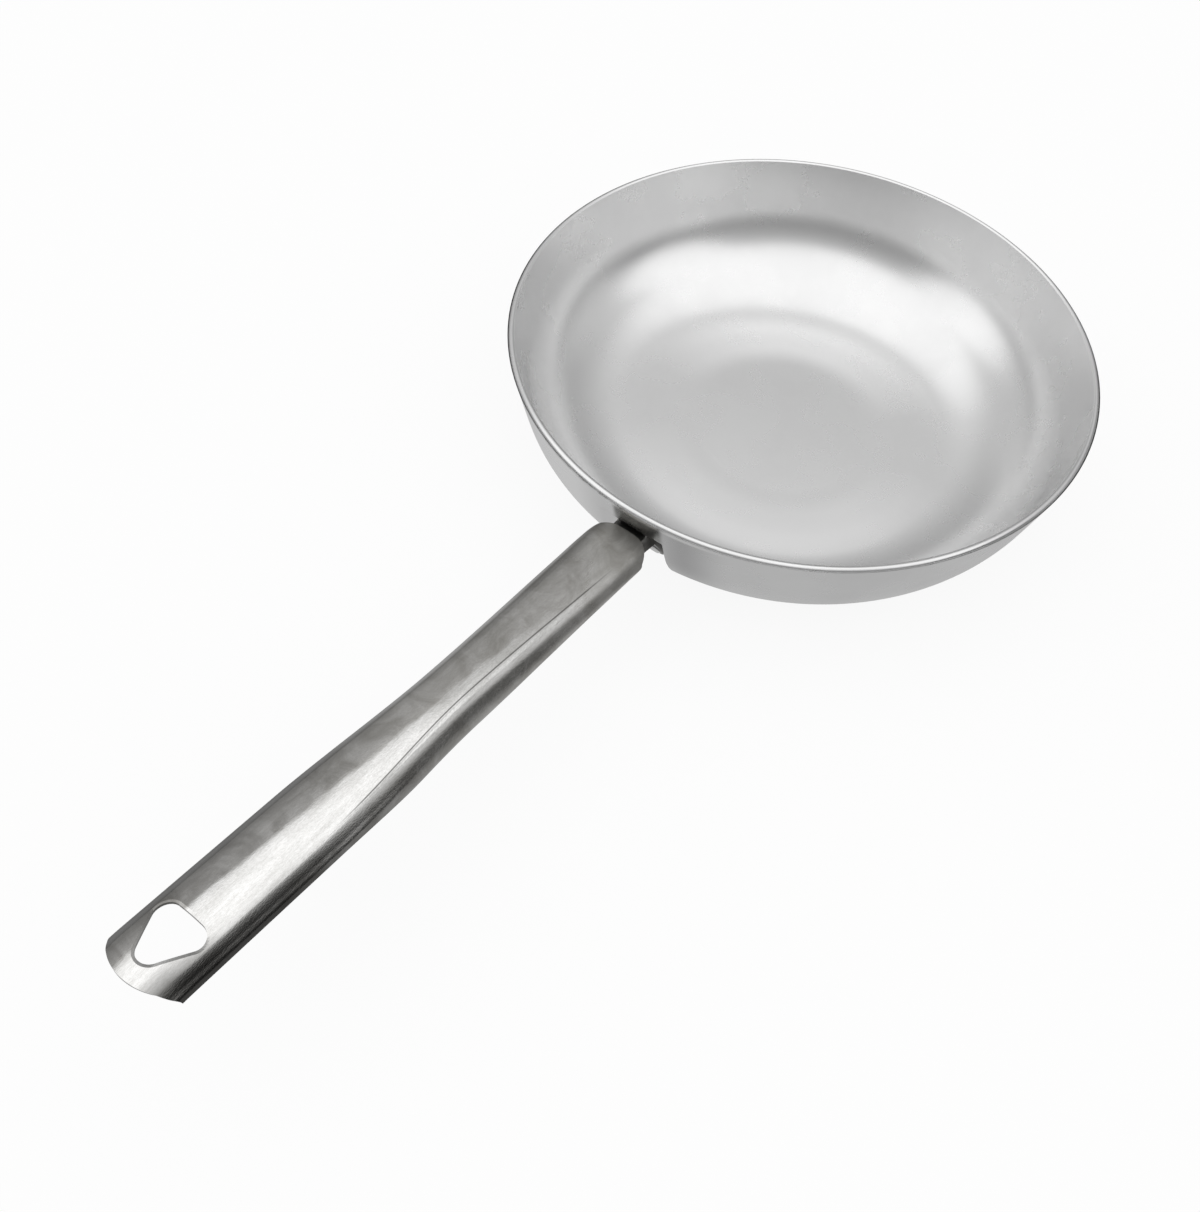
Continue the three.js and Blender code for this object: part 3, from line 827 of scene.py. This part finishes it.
# The floor glows in the metal: a painted pool of light, brighter near the pan.
in_metal = ramp(floor_tree, distance, AROUND_PAN, GLOW_IN_METAL, smooth=True)
glow = floor_tree.nodes.new("ShaderNodeEmission")
glow_level = mix_levels(floor_tree, seen_by["Is Camera Ray"], in_metal, WHITE)
floor_tree.links.new(glow_level, glow.inputs["Strength"])
white_share = arithmetic(floor_tree, "MULTIPLY", seen_by["Is Camera Ray"], WHITE_SHARE)
glow_share = arithmetic(floor_tree, "MAXIMUM", white_share, seen_by["Is Glossy Ray"])
floor_face = floor_tree.nodes.new("ShaderNodeMixShader")
floor_tree.links.new(glow_share, floor_face.inputs["Fac"])
floor_tree.links.new(floor_shader.outputs["BSDF"], floor_face.inputs[1])
floor_tree.links.new(glow.outputs["Emission"], floor_face.inputs[2])
floor_end = floor_tree.nodes["Material Output"]
floor_tree.links.new(floor_face.outputs["Shader"], floor_end.inputs["Surface"])
floor.data.materials.append(pale_floor)

# Light: a plain room, darker towards the ground, with a wide soft panel overhead that leans
# towards the handle and a smaller one low on each side of it. Two pale patches of wall and a
# dark doorway show in the metal. Each has its azimuth, elevation, reach and soft edge in degrees.
ROOM_HEIGHT = (0.0, 0.8)
ROOM_LIGHT = (0.16, 0.70)
PALE_WALLS = ((134, 27, 20, 8), (268, 20, 30, 10))
PALE_LIGHT = 0.66
PANELS = ((15, 81, 45, 6), (97, 42, 22, 5), (312, 28, 22, 8))
PANEL_LIGHT = 1.30
DOORWAYS = ((102, -4, 19, 5),)
DOORWAY_LIGHT = 0.06

room = bpy.data.worlds.new("room")
bpy.context.scene.world = room
room.use_nodes = True
room_tree = room.node_tree
look = room_tree.nodes.new("ShaderNodeTexCoord").outputs["Generated"]


def soft_patch(azimuth, elevation, reach, edge):
    """How far a direction in the room lies inside a round patch with a soft edge, from 0 to 1."""
    turn = math.radians(azimuth)
    rise = math.radians(elevation)
    level = math.cos(rise)
    middle = (level * math.cos(turn), level * math.sin(turn), math.sin(rise))
    towards = vector_arithmetic(room_tree, "DOT_PRODUCT", look, middle)
    span = [math.cos(math.radians(angle)) for angle in (reach + edge, reach - edge)]
    return ramp(room_tree, towards, span, smooth=True)


def any_patch(patches):
    share = soft_patch(*patches[0])
    for patch in patches[1:]:
        share = arithmetic(room_tree, "MAXIMUM", share, soft_patch(*patch))
    return share


height = room_tree.nodes.new("ShaderNodeSeparateXYZ")
room_tree.links.new(look, height.inputs["Vector"])
room_level = ramp(room_tree, height.outputs["Z"], ROOM_HEIGHT, ROOM_LIGHT)
for patches, light in (
    (PALE_WALLS, PALE_LIGHT),
    (PANELS, PANEL_LIGHT),
    (DOORWAYS, DOORWAY_LIGHT),
):
    room_level = mix_levels(room_tree, any_patch(patches), room_level, light)
seen_room = room_tree.nodes.new("ShaderNodeLightPath")
room_level = mix_levels(room_tree, seen_room.outputs["Is Camera Ray"], room_level, WHITE)
room_tree.links.new(room_level, room_tree.nodes["Background"].inputs["Color"])

# Camera: where the photograph was taken from, high above the far end of the handle and a little
# to one side, looking down into the bowl.
CAMERA_AT = (0.3972, 0.1662, 0.4325)
CAMERA_RIGHT = Vector((-0.6068, 0.7931, 0.0530))
CAMERA_UP = Vector((-0.6271, -0.5186, 0.5812))
CAMERA_AWAY = Vector((-0.4884, -0.3194, -0.8120))
SENSOR_WIDTH = 36
LENS = 37.13

camera_data = bpy.data.cameras.new("camera")
camera_data.sensor_width = SENSOR_WIDTH
camera_data.lens = LENS
camera = bpy.data.objects.new("camera", camera_data)
camera_turn = Matrix((CAMERA_RIGHT, CAMERA_UP, -CAMERA_AWAY)).transposed().to_4x4()
camera.matrix_world = Matrix.Translation(CAMERA_AT) @ camera_turn
bpy.context.scene.collection.objects.link(camera)
bpy.context.scene.camera = camera
bpy.context.scene.view_settings.view_transform = "Standard"
